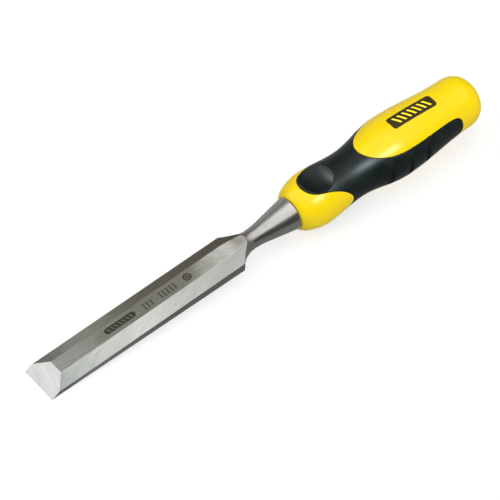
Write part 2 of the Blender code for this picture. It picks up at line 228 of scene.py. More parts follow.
def make_piece(name, node, points, faces, finishes, finish_of_face=None):
    """Piece that stands for a CAD node, from points in the tool's frame, with normals weighted by area."""
    mesh = bpy.data.meshes.new(name)
    turn = np.array(TO_ROW)[:3, :3]
    in_row = np.asarray(points) * MM @ turn.T + np.array(TO_ROW)[:3, 3]
    mesh.from_pydata(in_row.tolist(), [], faces)
    for finish in finishes:
        mesh.materials.append(finish)
    if finish_of_face is not None:
        mesh.polygons.foreach_set("material_index", np.asarray(finish_of_face, dtype=np.int32))
    mesh.shade_smooth()
    weighted = np.zeros((len(mesh.vertices), 3))
    normal = np.empty(3 * len(mesh.polygons))
    area = np.empty(len(mesh.polygons))
    sides = np.empty(len(mesh.polygons), dtype=np.int32)
    corner = np.empty(len(mesh.loops), dtype=np.int32)
    mesh.polygons.foreach_get("normal", normal)
    mesh.polygons.foreach_get("area", area)
    mesh.polygons.foreach_get("loop_total", sides)
    mesh.loops.foreach_get("vertex_index", corner)
    np.add.at(weighted, corner, np.repeat(normal.reshape(-1, 3) * area[:, None], sides, axis=0))
    length = np.linalg.norm(weighted, axis=1, keepdims=True)
    mesh.normals_split_custom_set_from_vertices((weighted / np.maximum(length, 1e-20)).tolist())
    item = bpy.data.objects.new(name, mesh)
    bpy.context.scene.collection.objects.link(item)
    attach(item, "root")
    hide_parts(node)
    return item


def smooth_min(first, second, width):
    """Smaller of two values, rounded where they cross."""
    share = np.clip(0.5 + 0.5 * (second - first) / width, 0, 1)
    return second * (1 - share) + first * share - width * share * (1 - share)


def join_rings(rings):
    """Points and quads of closed rings of equal size, each joined to the next."""
    size = rings.shape[1]
    index = np.arange(rings.shape[0] * size).reshape(rings.shape[0], size)
    after = np.roll(index, -1, axis=1)
    quads = np.stack([index[:-1], after[:-1], after[1:], index[1:]], axis=2)
    return rings.reshape(-1, 3), quads.reshape(-1, 4)


# ---------------------------------------------------------------- blade


def top_height(along):
    """Height of the ground top flat; past the run-out it rises with the grinding wheel."""
    slope = (SHOULDER_THICKNESS - TIP_THICKNESS) / (SHOULDER_X - TIP_X)
    past = np.clip(along - RUN_OUT_X, 0, BOLSTER_X - RUN_OUT_X)
    return TIP_THICKNESS + slope * (along - TIP_X) + WHEEL_RADIUS - np.sqrt(WHEEL_RADIUS**2 - past**2)


def blank_radius(along):
    """Radius of the turned forging: shoulder arc, neck and conical bolster."""
    reach = np.clip(NECK_X - along, 0, SHOULDER_ARC)
    arc = NECK_RADIUS + SHOULDER_ARC - np.sqrt(SHOULDER_ARC**2 - reach**2)
    slope = (BOLSTER_RADIUS - NECK_RADIUS) / (BOLSTER_X - CONE_START_X)
    blend = CONE_START_X - NECK_X
    past = np.maximum(along - NECK_X, 0)
    cone = np.where(past < 2 * blend, slope * past**2 / (4 * blend), slope * (past - blend))
    return np.minimum(np.where(along < NECK_X, arc, NECK_RADIUS + cone), BLANK_RADIUS)


def blade_stations():
    """Distances from the cutting edge, closer together at the primary bevel's end and on the shoulder."""
    near_wall = WALL_X + np.array([-0.4, -0.15, 0, 0.1, 0.25, 0.5])
    near_tip = TIP_X + np.array([-0.3, -0.12, -0.06, -0.03, 0, 0.03, 0.06, 0.12, 0.3])
    parts = [
        np.linspace(0, WALL_X - 0.6, 12), near_wall, np.linspace(WALL_X + 0.8, TIP_X - 0.5, 14), near_tip,
        np.linspace(TIP_X + 0.6, 102, 120), np.linspace(102.3, 108.6, 34), np.arange(108.7, 126.0, 0.12),
        np.linspace(126.2, BOLSTER_X - 0.3, 60),
    ]
    return np.concatenate(parts)


def blade_section(along):
    """Corners of half of the ground section at each station: back middle, back, wall, ridge, top middle."""
    wall_slope = (SHOULDER_SIDE_WALL - TIP_SIDE_WALL) / (SHOULDER_X - WALL_X)
    wall = TIP_SIDE_WALL + wall_slope * (along - WALL_X)
    wall_at_tip = TIP_SIDE_WALL + wall_slope * (TIP_X - WALL_X)
    bevel_slope = (TIP_THICKNESS - wall_at_tip) / (HALF_WIDTH - TOP_HALF_WIDTH)
    primary = EDGE_HEIGHT + GRIND_SLOPE * along
    top = smooth_min(primary, top_height(along), TOP_CREASE)
    reach = np.maximum((top - wall) / bevel_slope, LEAST_REACH)
    ridge = np.minimum(top, wall + bevel_slope * reach)
    fall = NECK_RADIUS - AXIS_HEIGHT
    past_back = np.maximum(along - BACK_RUN_OUT_X, 0) / (NECK_X - BACK_RUN_OUT_X)
    back = -fall * past_back**2
    zero = np.zeros_like(along)
    side = zero + HALF_WIDTH
    wall_top = np.minimum(primary, wall)
    corners = [(zero, back), (side, back), (side, wall_top), (side - reach, ridge), (zero, top)]
    return [np.stack(corner, axis=-1) for corner in corners]


def rounded_outline(corners):
    """Half outlines through the corners, each inner corner rounded by a short curve."""
    columns = []
    before = corners[0]
    for number in range(1, len(corners)):
        here = corners[number]
        last = number == len(corners) - 1
        inward = corners[number - 1] - here
        inward_length = np.linalg.norm(inward, axis=1, keepdims=True)
        if last:
            arrive = here
        else:
            onward = corners[number + 1] - here
            onward_length = np.linalg.norm(onward, axis=1, keepdims=True)
            cut = np.minimum(EDGE_ROUND, 0.35 * np.minimum(inward_length, onward_length))
            arrive = here + inward / np.maximum(inward_length, 1e-9) * cut
            leave = here + onward / np.maximum(onward_length, 1e-9) * cut
        pieces = SECTION_CUTS[number - 1]
        for step in range(pieces):
            columns.append(before + (arrive - before) * step / pieces)
        if last:
            columns.append(here)
            break
        for step in range(EDGE_STEPS):
            share = step / EDGE_STEPS
            columns.append((1 - share) ** 2 * arrive + 2 * share * (1 - share) * here + share**2 * leave)
        before = leave
    return np.stack(columns, axis=1)


def blade_tail(angle):
    """Places and radii of the rings behind the blade's skin: bolster edge, tang root and tang end."""
    square = 1 / np.maximum(abs(np.cos(angle)), abs(np.sin(angle)))
    level = np.ones_like(angle)
    return [
        (BOLSTER_X - 0.08, (BOLSTER_RADIUS - 0.06) * level),
        (BOLSTER_X, (BOLSTER_RADIUS - 0.25) * level),
        (BOLSTER_X, TANG_ROOT * square),
        (TANG_END_X, TANG_TIP * square),
    ]


def blade_kinds(along, is_turned):
    """Finish of every face between the rings: the ground ones by their place round, the turned ones alike."""
    rows, size = is_turned.shape
    middle = np.append((along[1:] + along[:-1]) / 2, np.full(rows - len(along), BOLSTER_X))
    starts = np.cumsum([0] + [cut + EDGE_STEPS for cut in SECTION_CUTS[:3]] + [SECTION_CUTS[3]])
    half_round = EDGE_STEPS // 2
    half = np.full((len(middle), starts[-1]), FLAT)
    half[:, starts[1] - half_round : starts[2] - half_round] = WALL
    bevel = np.where(middle < WALL_X, PRIMARY, BEVEL)
    half[:, starts[2] - half_round : starts[3] - half_round] = bevel[:, None]
    half[:, starts[3] - half_round :] = np.where(middle < TIP_X, PRIMARY, FLAT)[:, None]
    kinds = np.zeros((rows - 1, size), dtype=int)
    kinds[:, : starts[-1]] = half
    kinds[:, starts[-1] :] = half[:, ::-1]
    near = is_turned[:-1] & is_turned[1:]
    kinds[near & np.roll(near, -1, axis=1)] = TURNED
    return kinds.reshape(-1).tolist()


def make_blade(finishes):
    """Ground blade, shoulder, neck and bolster as one skin of closed rings, with the tang behind them.

    The ground outline is clipped by the turned blank; towards the neck it is spread so that the blank wins.
    """
    along = blade_stations()
    half = rounded_outline(blade_section(along))
    mirrored = half[:, -2:0:-1] * np.array([-1.0, 1.0])
    middle = np.array([0.0, AXIS_HEIGHT])
    offset = np.concatenate([half, mirrored], axis=1) - middle
    ground = np.linalg.norm(offset, axis=2)
    spread = 1 + SPREAD * np.maximum(along - SPREAD_FROM_X, 0)[:, None]
    turned = blank_radius(along)[:, None]
    clipped = smooth_min(ground * spread, turned + 0 * ground, TURNED_CREASE)
    past_run_out = along[:, None] > TURNED_FROM_X
    held = np.where(past_run_out, clipped / np.maximum(ground, 1e-9), 1.0)
    ring = middle + offset * held[:, :, None]
    points = np.concatenate([np.broadcast_to(along[:, None, None], ring.shape[:2] + (1,)), ring], axis=2)
    angle = np.arctan2(offset[-1, :, 1], offset[-1, :, 0])
    for station, radius in blade_tail(angle):
        loop = [np.full_like(angle, station), radius * np.cos(angle), AXIS_HEIGHT + radius * np.sin(angle)]
        points = np.concatenate([points, np.stack(loop, axis=1)[None]])
    vertices, quads = join_rings(points)
    size = points.shape[1]
    is_turned = np.ones(points.shape[:2], dtype=bool)
    is_turned[: len(along)] = (ground * spread > turned) & past_run_out
    kinds = blade_kinds(along, is_turned) + [PRIMARY, TURNED]
    faces = quads[:, ::-1].tolist()
    faces += [list(range(size)), list(range(len(vertices) - 1, len(vertices) - size - 1, -1))]
    return make_piece("chisel_blade", "blade", vertices, faces, finishes, kinds)


# ---------------------------------------------------------------- handle


def eased(start, end, share):
    """Half a cosine wave from start to end."""
    return start + (end - start) * (1 - np.cos(math.pi * np.clip(share, 0, 1))) / 2


def handle_radius(along):
    """Radius of the handle at distances from the cutting edge."""
    past = np.clip(np.asarray(along, dtype=float) - NOSE_FACE_X, 0, HANDLE_LENGTH)
    share = np.clip(1 - past / NOSE[0], 0, 1)
    rise = (1 - share**NOSE_FULLNESS) ** (1 / NOSE_FULLNESS)
    radius = NOSE_FACE_RADIUS + (NOSE[1] - NOSE_FACE_RADIUS) * rise
    for (start, first), (end, second) in ((NOSE, WAIST), (WAIST, SWELL), (SWELL, BUTT)):
        radius = np.where(past > start, eased(first, second, (past - start) / (end - start)), radius)
    dome = np.clip((past - BUTT[0]) / (HANDLE_LENGTH - BUTT[0]), 0, 1)
    return np.where(past > BUTT[0], BUTT[1] * (1 - dome**BUTT_FULLNESS) ** (1 / BUTT_FULLNESS), radius)


def on_tool(along, turn, radius):
    """Points at a distance along, an angle round from the top and a radius from the axis."""
    side, rise = -radius * np.sin(turn), radius * np.cos(turn)
    return np.stack([along + 0 * radius, side, AXIS_HEIGHT + rise], axis=-1)


def outward(along, turn):
    """Unit normals of the turned outline."""
    step = 0.02
    low = np.clip(along - step, NOSE_FACE_X + 0.001, NOSE_FACE_X + HANDLE_LENGTH - 0.05)
    high = low + 2 * step
    slope = (handle_radius(high) - handle_radius(low)) / (high - low)
    normal = np.stack([-slope, -np.sin(turn), np.cos(turn)], axis=-1)
    return normal / np.linalg.norm(normal, axis=-1, keepdims=True)


def smooth_line(controls):
    """Places along and degrees round of a dense, even, smooth line through control points on the handle.

    The line carries on a little past both of its ends, mirrored there.
    """
    given = np.array(controls, dtype=float)
    front = given[2:0:-1] * (1, -1)
    back = given[-2:-4:-1] * (1, -1) + (0, 180)
    given = np.concatenate([front, given, back])
    line = []
    for index in range(1, len(given) - 2):
        p0, p1, p2, p3 = given[index - 1 : index + 3]
        share = np.linspace(0, 1, LINE_PIECES, endpoint=False)[:, None]
        bend = 2 * p0 - 5 * p1 + 4 * p2 - p3
        twist = 3 * (p1 - p2) + p3 - p0
        line.append(0.5 * (2 * p1 + (p2 - p0) * share + bend * share**2 + twist * share**3))
    line = np.concatenate(line)
    turn = np.radians(line[:, 1])
    points = on_tool(line[:, 0], turn, handle_radius(line[:, 0]))
    length = np.append(0, np.cumsum(np.linalg.norm(np.diff(points, axis=0), axis=1)))
    even = np.arange(0, length[-1], LINE_STEP)
    line = np.stack([np.interp(even, length, line[:, axis]) for axis in (0, 1)], axis=1)
    window = np.hanning(LINE_WINDOW)
    window /= window.sum()
    smooth = [np.convolve(line[:, axis], window, mode="valid") for axis in (0, 1)]
    return np.stack(smooth, axis=1)


def line_frame(line, yellow_ahead):
    """Points of a line in one quarter, and at each the direction across it into the yellow."""
    turn = np.radians(line[:, 1])
    points = on_tool(line[:, 0], turn, handle_radius(line[:, 0]))
    tangent = np.gradient(points, axis=0)
    across = np.cross(outward(line[:, 0], turn), tangent)
    across /= np.linalg.norm(across, axis=1, keepdims=True)
    wanted = -1.0 if yellow_ahead else 1.0
    return points, across * wanted * np.sign(across[:, 0].sum())


def folded(turn):
    """Angle of the same place in the first quarter, as the lines are alike in all four."""
    quarter = np.mod(turn, math.pi)
    return np.where(quarter > math.pi / 2, math.pi - quarter, quarter)


FRONT = smooth_line(FRONT_LINE)
WINDOW = smooth_line(WINDOW_LINE)
FRONT_POINTS, FRONT_ACROSS = line_frame(FRONT, True)
WINDOW_POINTS, WINDOW_ACROSS = line_frame(WINDOW, False)
LINE_POINTS = np.concatenate([FRONT_POINTS, WINDOW_POINTS])
LINE_ACROSS = np.concatenate([FRONT_ACROSS, WINDOW_ACROSS])


def into_yellow(along, turn):
    """Signed distance to the seam, positive in the yellow, and the direction across it into the yellow."""
    quarter = folded(turn)
    surface = on_tool(along, quarter, handle_radius(along))
    nearest = np.empty(len(surface), dtype=int)
    squared = (LINE_POINTS**2).sum(axis=1)
    block_size = 8000
    for start in range(0, len(surface), block_size):
        block = surface[start : start + block_size]
        nearest[start : start + block_size] = (squared - 2 * block @ LINE_POINTS.T).argmin(axis=1)
    gap = surface - LINE_POINTS[nearest]
    direction = LINE_ACROSS[nearest]
    distance = (gap * direction).sum(axis=1)
    degrees = np.degrees(quarter)
    front = np.interp(degrees, FRONT[:, 1], FRONT[:, 0])
    window = np.interp(degrees, WINDOW[:, 1], WINDOW[:, 0])
    yellow = (along < front) | (along > window)
    far = np.linalg.norm(gap, axis=1) > LINE_REACH
    distance = np.where(far, np.where(yellow, LINE_REACH, -LINE_REACH), distance)
    signs = np.stack([np.ones_like(turn), np.sign(np.sin(turn)), np.sign(np.cos(turn))], axis=1)
    return distance, direction * np.where(signs == 0, 1, signs)


def dish_radius(along, turn, spread):
    """Distance from the axis at which a ray leaves the core for a thumb dish, or a large one if it misses."""
    semi_x, semi_y, semi_z = (axis + spread for axis in DISH_AXES)
    rise = abs(np.cos(turn))
    a = np.sin(turn) ** 2 / semi_y**2 + rise**2 / semi_z**2
    b = DISH_HEIGHT * rise / semi_z**2
    c = DISH_HEIGHT**2 / semi_z**2 + (along - DISH_X) ** 2 / semi_x**2 - 1
    inner = b**2 - a * c
    return np.where(inner > 0, (b - np.sqrt(np.maximum(inner, 0))) / a, MISS)


def grip_radius(along, turn, depth=0.0):
    """Radius of the soft grip's skin, or of a layer under it."""
    radius = handle_radius(along) - depth
    radius = smooth_min(radius, dish_radius(along, turn, depth), CREASE)
    if depth:
        return radius
    for middle in GROOVES_X:
        reach = handle_radius(middle) - GROOVE_DEPTH + GROOVE_RADIUS
        chord = np.sqrt(np.maximum(GROOVE_RADIUS**2 - (along - middle) ** 2, 0))
        depth_here = (reach - chord) / np.maximum(abs(np.sin(turn)), 0.2)
        radius = np.where(abs(along - middle) < GROOVE_RADIUS, smooth_min(radius, depth_here, CREASE), radius)
    return radius


def handle_rows():
    """Distances from the cutting edge of the rows of the handle's skin."""
    nose = NOSE_FACE_X + 4.0 * np.linspace(0, 1, 26, endpoint=False) ** 2
    dome_start = NOSE_FACE_X + BUTT[0]
    dome = dome_start + (HANDLE_LENGTH - BUTT[0]) * np.sin(np.linspace(0, math.pi / 2, 50))[:-1]
    parts = [
        nose, np.arange(149.8, 176, 0.24), np.arange(176.1, 193.8, 0.4), np.arange(194, 221, 0.28),
        np.arange(221.2, 236.5, 0.45), np.arange(236.7, 243, 0.27), np.arange(243.2, dome_start - 0.2, 0.5),
        dome,
    ]
    return np.concatenate(parts)


def cut_grid(rows, turns, inside):
    """Cells of a grid where inside is positive, cut along its zero line.

    Gives the places along and round of the points, the faces, and the cut's edges as pairs of points.
    """
    count = len(turns)
    keep = inside > 0
    following = np.roll(np.arange(count), -1)
    total = keep[:-1].astype(int) + keep[1:] + keep[:-1][:, following] + keep[1:][:, following]
    index = np.arange(len(rows) * count).reshape(len(rows), count)
    full = total == 4
    quads = np.stack([index[:-1], index[:-1][:, following], index[1:][:, following], index[1:]], axis=2)[full]
    faces = quads.tolist()
    along = np.repeat(rows, count).tolist()
    turn = np.tile(turns, len(rows)).tolist()
    values = inside.reshape(-1)
    crossings = {}
    rim = []

    def crossing(first, second, first_place, second_place):
        key = (min(first, second), max(first, second))
        if key not in crossings:
            share = values[first] / (values[first] - values[second])
            crossings[key] = len(along)
            along.append(first_place[0] + (second_place[0] - first_place[0]) * share)
            turn.append(first_place[1] + (second_place[1] - first_place[1]) * share)
        return crossings[key]

    step = turns[1] - turns[0]
    for row, column in np.argwhere((total > 0) & (total < 4)):
        after = following[column]
        corners = [index[row, column], index[row, after], index[row + 1, after], index[row + 1, column]]
        near, far = rows[row], rows[row + 1]
        first_turn, next_turn = turns[column], turns[column] + step
        places = [(near, first_turn), (near, next_turn), (far, next_turn), (far, first_turn)]
        face, leaving, entering = [], None, None
        for number in range(4):
            here, there = corners[number], corners[(number + 1) % 4]
            if values[here] > 0:
                face.append(int(here))
            if (values[here] > 0) != (values[there] > 0):
                point = crossing(here, there, places[number], places[(number + 1) % 4])
                face.append(point)
                if values[here] > 0:
                    leaving = point
                else:
                    entering = point
        faces.append(face)
        rim.append((leaving, entering))
    used = np.zeros(len(along), dtype=bool)
    for face in faces:
        used[face] = True
    renumber = np.cumsum(used) - 1
    faces = [[int(renumber[corner]) for corner in face] for face in faces]
    rim = [(int(renumber[first]), int(renumber[second])) for first, second in rim]
    return np.array(along)[used], np.array(turn)[used], faces, rim


def add_lip(points, faces, rim, along, turn, across, depth):
    """Round the cut edge over and carry it down into the seam; across points away from the cut."""
    edge = np.unique([corner for pair in rim for corner in pair])
    slot = {int(corner): number for number, corner in enumerate(edge)}
    normal = outward(along[edge], turn[edge])
    base = points[edge]
    side = across[edge] - (across[edge] * normal).sum(axis=1, keepdims=True) * normal
    side /= np.linalg.norm(side, axis=1, keepdims=True)
    rings = []
    for step in range(1, LIP_STEPS + 1):
        sweep = math.pi / 2 * step / LIP_STEPS
        rings.append(base - side * LIP * math.sin(sweep) - normal * LIP * (1 - math.cos(sweep)))
    rings.append(base - side * LIP - normal * depth)
    start = len(points)
    size = len(edge)
    new_faces = []
    for first, second in rim:
        upper = (first, second)
        for ring in range(len(rings)):
            lower = (start + ring * size + slot[first], start + ring * size + slot[second])
            new_faces.append([upper[1], upper[0], lower[0], lower[1]])
            upper = lower
    return np.concatenate([points] + rings), faces + new_faces


ROWS = handle_rows()
TURNS = np.arange(COLUMNS) * 2 * math.pi / COLUMNS
GRID_ALONG = np.repeat(ROWS, COLUMNS)
GRID_TURN = np.tile(TURNS, len(ROWS))
GRID_YELLOW = into_yellow(GRID_ALONG, GRID_TURN)[0].reshape(len(ROWS), COLUMNS)
COARSE_GRID = (ROWS[::COARSE], TURNS[::COARSE])
COARSE_YELLOW = GRID_YELLOW[::COARSE, ::COARSE]


def close_ends(points, faces, along):
    """Nose face with the tang's socket, and the last point of the butt."""
    first_ring = np.flatnonzero(along == ROWS[0])
    last_ring = np.flatnonzero(along == ROWS[-1])
    square = 1 / np.maximum(abs(np.cos(TURNS)), abs(np.sin(TURNS)))
    steps = [
        (NOSE_FACE_X - 0.04, NOSE_FACE_RADIUS - 0.03 + 0 * square),
        (NOSE_FACE_X - 0.05, NOSE_FACE_RADIUS - 0.12 + 0 * square),
        (NOSE_FACE_X - 0.05, (TANG_ROOT + SOCKET_GAP) * square),
        (TANG_END_X + 0.3, (TANG_TIP + SOCKET_GAP) * square),
    ]
    previous = first_ring.tolist()
    for position, radius in steps:
        start = len(points)
        points = np.concatenate([points, on_tool(np.full(COLUMNS, position), TURNS, radius)])
        ring = list(range(start, start + COLUMNS))
        for number in range(COLUMNS):
            after = (number + 1) % COLUMNS
            faces.append([previous[after], previous[number], ring[number], ring[after]])
        previous = ring
    faces.append(previous[::-1])
    tip = len(points)
    points = np.concatenate([points, [[NOSE_FACE_X + HANDLE_LENGTH, 0, AXIS_HEIGHT]]])
    for number in range(COLUMNS):
        faces.append([int(last_ring[number]), int(last_ring[(number + 1) % COLUMNS]), tip])
    return points, faces


def merge(first, second):
    """Two pairs of points and faces as one."""
    shift = len(first[0])
    moved = [[corner + shift for corner in face] for face in second[1]]
    return np.concatenate([first[0], second[0]]), first[1] + moved


def make_core(finishes):
    """Yellow skin of the nose, palm swell and butt, and the bed under the soft grip."""
    along, turn, faces, rim = cut_grid(ROWS, TURNS, GRID_YELLOW - LIP - SEAM_GAP / 2)
    points = on_tool(along, turn, handle_radius(along))
    across = into_yellow(along, turn)[1]
    points, faces = add_lip(points, faces, rim, along, turn, across, GRIP_THICKNESS + BED_GAP)
    padded = np.concatenate([along, np.zeros(len(points) - len(along))])
    points, faces = close_ends(points, faces, padded)
    along, turn, bed, _ = cut_grid(*COARSE_GRID, SEAM_GAP / 2 - COARSE_YELLOW)
    bed_points = on_tool(along, turn, grip_radius(along, turn, GRIP_THICKNESS + BED_GAP))
    points, faces = merge((points, faces), (bed_points, bed))
    return make_piece("handle_core_skin", "handle_core", points, faces, finishes)


def make_grip(finishes):
    """Black soft grip: outer skin with thumb dishes and grooves, rolled edges, and its inner face."""
    along, turn, faces, rim = cut_grid(ROWS, TURNS, -GRID_YELLOW - LIP - SEAM_GAP / 2)
    points = on_tool(along, turn, grip_radius(along, turn))
    across = -into_yellow(along, turn)[1]
    points, faces = add_lip(points, faces, rim, along, turn, across, GRIP_THICKNESS)
    along, turn, inner, _ = cut_grid(*COARSE_GRID, -SEAM_GAP / 2 - COARSE_YELLOW)
    inner_points = on_tool(along, turn, grip_radius(along, turn, GRIP_THICKNESS))
    inner = [face[::-1] for face in inner]
    points, faces = merge((points, faces), (inner_points, inner))
    return make_piece("soft_grip_skin", "soft_grip", points, faces, finishes)


def make_label(finishes):
    """Thin dark film with rounded corners, following the palm swell."""
    rows = np.arange(LABEL_X - LABEL_LENGTH / 2 - 1, LABEL_X + LABEL_LENGTH / 2 + 1, LABEL_STEP)
    turns = np.radians(np.linspace(-LABEL_HALF_TURN, LABEL_HALF_TURN, 2 * LABEL_HALF_COLUMNS + 1))
    along, turn = np.meshgrid(rows, turns, indexing="ij")
    ahead = abs(along - LABEL_X) - LABEL_LENGTH / 2 + LABEL_CORNER
    aside = abs(handle_radius(along) * np.sin(turn)) - LABEL_WIDTH / 2 + LABEL_CORNER
    beyond = np.hypot(np.maximum(ahead, 0), np.maximum(aside, 0))
    inside = LABEL_CORNER - beyond - np.minimum(np.maximum(ahead, aside), 0)
    inside[:, 0] = inside[:, -1] = -1.0
    along, turn, faces, rim = cut_grid(rows, turns, inside)
    points = on_tool(along, turn, handle_radius(along) + LABEL_PROUD)
    start = len(points)
    edge = np.unique([corner for pair in rim for corner in pair])
    slot = {int(corner): number for number, corner in enumerate(edge)}
    points = np.concatenate([points, points[edge] - outward(along[edge], turn[edge]) * LABEL_DEPTH])
    for first, second in rim:
        faces.append([second, first, start + slot[first], start + slot[second]])
    return make_piece("label_film", "label", points, faces, finishes)


# ---------------------------------------------------------------- finishes


class Finish:
    """A material and a short way to add nodes to it."""

    def __init__(self, name):
        self.material = bpy.data.materials.new(name)
        self.material.use_nodes = True
        self.tree = self.material.node_tree
        self.shader = self.tree.nodes["Principled BSDF"]

    def add(self, kind, inputs=None, **settings):
        """New shader node, its settings made and its inputs fed."""
        node = self.tree.nodes.new("ShaderNode" + kind)
        for key, value in settings.items():
            setattr(node, key, value)
        for key, value in (inputs or {}).items():
            self.feed(node.inputs[key], value)
        return node

    def feed(self, socket, value):
        """Link a socket to an output or a node's first output, or set its own value."""
        if isinstance(value, bpy.types.NodeSocket):
            self.tree.links.new(value, socket)
        elif isinstance(value, bpy.types.Node):
            self.tree.links.new(value.outputs[0], socket)
        else:
            socket.default_value = value

    def math(self, operation, first, second=0.0, third=0.0):
        """Result of a Math node."""
        return self.add("Math", {0: first, 1: second, 2: third}, operation=operation).outputs[0]

    def ramp(self, value, low, high, start=0.0, end=1.0):
        """Value from low to high remapped to start to end, with its ends held."""
        sockets = {"Value": value, "From Min": low, "From Max": high, "To Min": start, "To Max": end}
        return self.add("MapRange", sockets).outputs[0]

    def blend(self, share, first, second):
        """Colour from the first to the second by the share."""
        node = self.add("Mix", data_type="RGBA")
        self.feed(node.inputs[0], share)
        self.feed(node.inputs[6], first)
        self.feed(node.inputs[7], second)
        return node.outputs[2]

    def place(self):
        """Place on the tool, in metres in its own frame."""
        back = TO_ROW.inverted()
        sockets = {
            "Vector": self.add("TexCoord").outputs["Object"],
            "Location": back.to_translation(),
            "Rotation": back.to_euler(),
        }
        return self.add("Mapping", sockets).outputs[0]

    def noise(self, vector, scale, detail=3.0, roughness=0.5, distortion=0.0):
        """Noise about 0.5."""
        sockets = {"Vector": vector, "Scale": scale, "Detail": detail, "Roughness": roughness}
        return self.add("TexNoise", sockets | {"Distortion": distortion}).outputs[0]

    def stretched(self, vector, scale, turn=0.0):
        """Coordinates turned about Z and stretched."""
        turned = self.add("Mapping", {"Vector": vector, "Rotation": (0, 0, turn)}).outputs[0]
        return self.add("Mapping", {"Vector": turned, "Scale": scale}).outputs[0]

    def painted_reflection_along(self, along, painted_reflections, clouds):
        """Painted reflections: colour that changes with the distance from the cutting edge and wavers a
        little with the clouds.
        """
        last = painted_reflections[-1][0]
        waver = self.ramp(clouds, 0.3, 0.7, -0.02, 0.02)
        share = self.math("ADD", self.math("DIVIDE", along, last * MM), waver)
        node = self.add("ValToRGB", {0: share})
        stops = node.color_ramp.elements
        stops[0].position, stops[0].color = 0.0, (*painted_reflections[0][1], 1.0)
        stops[1].position, stops[1].color = 1.0, (*painted_reflections[-1][1], 1.0)
        for distance, tint in painted_reflections[1:-1]:
            stops.new(distance / last).color = (*tint, 1.0)
        return node.outputs[0]

    def bump(self, height, distance, strength=1.0):
        """Normal bent by a height; the distance is in metres."""
        return self.add("Bump", {"Height": height, "Distance": distance, "Strength": strength}).outputs[0]

    def set(self, **values):
        """Feed the main shader and give the material: underscores in a name stand for spaces."""
        for key, value in values.items():
            self.feed(self.shader.inputs[key.replace("_", " ")], value)
        return self.material


def steel(name, painted_reflections, roughness, strokes, turn, depth, marks=False, left_painted_reflections=None):
    """Ground steel, its colour changing along the blade as painted reflections and painted shade.

    Strokes are the scales of the grinding lines along three axes, turned about Z, and depth is the lines' own
    in metres. The left painted reflections are for the blade's left half, where the bevel is painted darker.
    The face with the etched marks also has the grinding wheel's streaks at its run-out.
    """
    finish = Finish(name)
    spot = finish.place()
    along, across, _ = finish.add("SeparateXYZ", {0: spot}).outputs
    wide_strokes, coarse_strokes = [tuple(axis * share for axis in strokes) for share in (0.1, 0.3)]
    wide = finish.noise(finish.stretched(spot, wide_strokes, turn), 1.0, 2.0)
    fine = finish.noise(finish.stretched(spot, strokes, turn), 1.0, 4.0, 0.6, 0.2)
    coarse = finish.noise(finish.stretched(spot, coarse_strokes, turn), 1.0, 3.0, 0.6, 0.3)
    if marks:
        streaks = finish.stretched(spot, STREAKS, math.radians(STREAK_TURN))
        wheel = finish.noise(streaks, 1.0, 5.0, 0.65, 0.3)
        run_out = finish.ramp(along, *((RUN_OUT_X - before) * MM for before in STREAKS_FADE))
        coarse = finish.math("MULTIPLY_ADD", run_out, finish.math("SUBTRACT", wheel, coarse), coarse)
        fine = finish.math("MULTIPLY_ADD", run_out, finish.math("SUBTRACT", wheel, fine), fine)
    clouds = finish.noise(spot, 90.0, 3.0)
    # Painted reflections and shade: the colour's brightness along the blade stands in for the studio's
    # reflections
    color = finish.painted_reflection_along(along, painted_reflections, clouds)
    # Painted shade: the left half gets its own, darker painted reflections
    if left_painted_reflections:
        other = finish.painted_reflection_along(along, left_painted_reflections, clouds)
        color = finish.blend(finish.ramp(across, -0.1 * MM, 0.1 * MM), color, other)
    wide_shade = finish.ramp(wide, 0.3, 0.7, 0.95, 1.05)
    shade = finish.math("MULTIPLY", wide_shade, finish.ramp(coarse, 0.3, 0.7, 0.92, 1.08))
    shade = finish.math("MULTIPLY", shade, finish.ramp(fine, 0.3, 0.7, 0.90, 1.10))
    color = finish.add("VectorMath", {0: color, "Scale": shade}, operation="SCALE").outputs[0]
    rough = finish.ramp(coarse, 0.3, 0.7, roughness - 0.05, roughness + 0.06)
    height = finish.math("ADD", finish.math("MULTIPLY", fine, 0.6), finish.math("MULTIPLY", coarse, 0.4))
    normal = finish.bump(height, depth)
    if marks:
        mask = blade_marks(finish, spot)
        color = finish.blend(mask, color, ETCHED)
        rough = finish.math("ADD", rough, finish.math("MULTIPLY", mask, 0.2))
    return finish.set(Base_Color=color, Metallic=1.0, Roughness=rough, Normal=normal)


def between(finish, value, low, high, soft=0.06):
    """One between low and high, zero outside, with a soft edge; all in millimetres."""
    rise = finish.ramp(value, (low - soft) * MM, (low + soft) * MM)
    fall = finish.ramp(value, (high - soft) * MM, (high + soft) * MM, 1.0, 0.0)
    return finish.math("MULTIPLY", rise, fall)


def stripes(finish, along, middle, pitch, share):
    """One on stripes every pitch from the middle, each a share of the pitch wide; all in millimetres."""
    steps = finish.math("DIVIDE", finish.math("SUBTRACT", along, middle * MM), pitch * MM)
    sawtooth = finish.math("FRACT", finish.math("ADD", steps, 100.5))
    from_stripe = finish.math("ABSOLUTE", finish.math("SUBTRACT", sawtooth, 0.5))
    return finish.ramp(from_stripe, share / 2 - 0.04, share / 2 + 0.04, 1.0, 0.0)


def radius_about(finish, along, across):
    """Distance from an axis through the origin of the two coordinates."""
    squares = finish.math("MULTIPLY_ADD", along, along, finish.math("MULTIPLY", across, across))
    return finish.math("SQRT", squares)


def slanted_bars(finish, along, across, middle, slant, bars):
    """One on slanted bars about the middle; bars are (pitch, share of the pitch, half width, half length)."""
    pitch, share, half_width, half_length = bars
    slanted = finish.math("MULTIPLY_ADD", across, slant, along)
    mask = stripes(finish, slanted, middle, pitch, share)
    mask = finish.math("MULTIPLY", mask, between(finish, across, -half_width, half_width))
    return finish.math("MULTIPLY", mask, between(finish, slanted, middle - half_length, middle + half_length))


